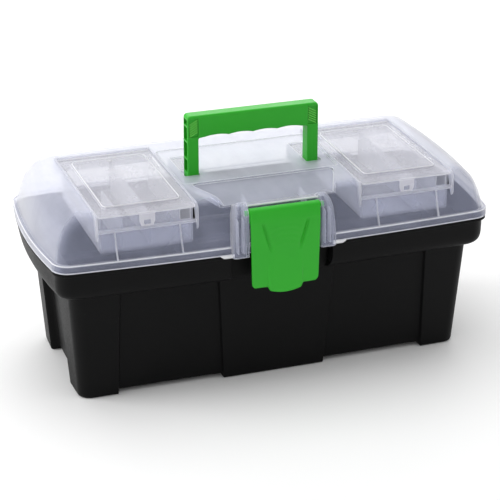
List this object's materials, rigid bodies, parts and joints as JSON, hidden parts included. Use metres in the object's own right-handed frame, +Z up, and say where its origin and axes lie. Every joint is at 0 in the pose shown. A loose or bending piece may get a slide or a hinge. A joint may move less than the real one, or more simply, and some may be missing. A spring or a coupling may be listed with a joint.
{
  "type": "toolbox with tray",
  "caption": "Plastic toolbox with a translucent organiser lid, hinged covers, folding carry handle, swing latch and a lift-out tray.",
  "frame": {"origin": "middle of the footprint, level with the undersides of the feet", "axes": "+X along the box, +Y towards the rear hinges, +Z up"},
  "size_m": [0.402, 0.195, 0.224],
  "materials": {
    "black_moulding": "satin moulded polypropylene",
    "tray_moulding": "satin moulded polypropylene",
    "frosted_lid": "frosted translucent polypropylene",
    "clear_cover": "translucent polypropylene, a little glossier",
    "green_moulding": "satin moulded polypropylene"
  },
  "bodies": {
    "tub": {"body_tub": "black_moulding", "hinge_pin_left": "black_moulding", "hinge_pin_right": "black_moulding"},
    "lid": {"main_lid": "frosted_lid", "organiser_divider_left_long": "frosted_lid", "organiser_divider_left_short": "frosted_lid", "organiser_divider_right_long": "frosted_lid"},
    "cover_left": {"organiser_cover_left": "clear_cover"},
    "cover_right": {"organiser_cover_right": "clear_cover"},
    "handle": {"carry_handle": "green_moulding"},
    "latch": {"front_latch": "green_moulding"},
    "tray": {"lift_out_tray": "tray_moulding", "tray_grip": "tray_moulding"}
  },
  "joints": [
    {"name": "lid_hinge", "type": "hinge", "parent": "tub", "child": "lid", "pos_m": [0, 0.0934, 0.126], "axis": [-1, 0, 0], "range_deg": [0, 100]},
    {"name": "handle_fold", "type": "hinge", "parent": "lid", "child": "handle", "pos_m": [0, -0.00775, 0.1656], "axis": [-1, 0, 0], "range_deg": [0, 72]},
    {"name": "latch_swing", "type": "hinge", "parent": "lid", "child": "latch", "pos_m": [0, -0.0908, 0.1622], "axis": [-1, 0, 0], "range_deg": [0, 100]},
    {"name": "cover_left_hinge", "type": "hinge", "parent": "lid", "child": "cover_left", "pos_m": [-0.1153, 0.0585, 0.1701], "axis": [-1, 0, 0], "range_deg": [0, 100]},
    {"name": "cover_right_hinge", "type": "hinge", "parent": "lid", "child": "cover_right", "pos_m": [0.1153, 0.0585, 0.1701], "axis": [-1, 0, 0], "range_deg": [0, 100]},
    {"name": "tray_lift", "type": "slide", "parent": "tub", "child": "tray", "axis": [0, 0, 1], "range_m": [0, 0.02]}
  ]
}
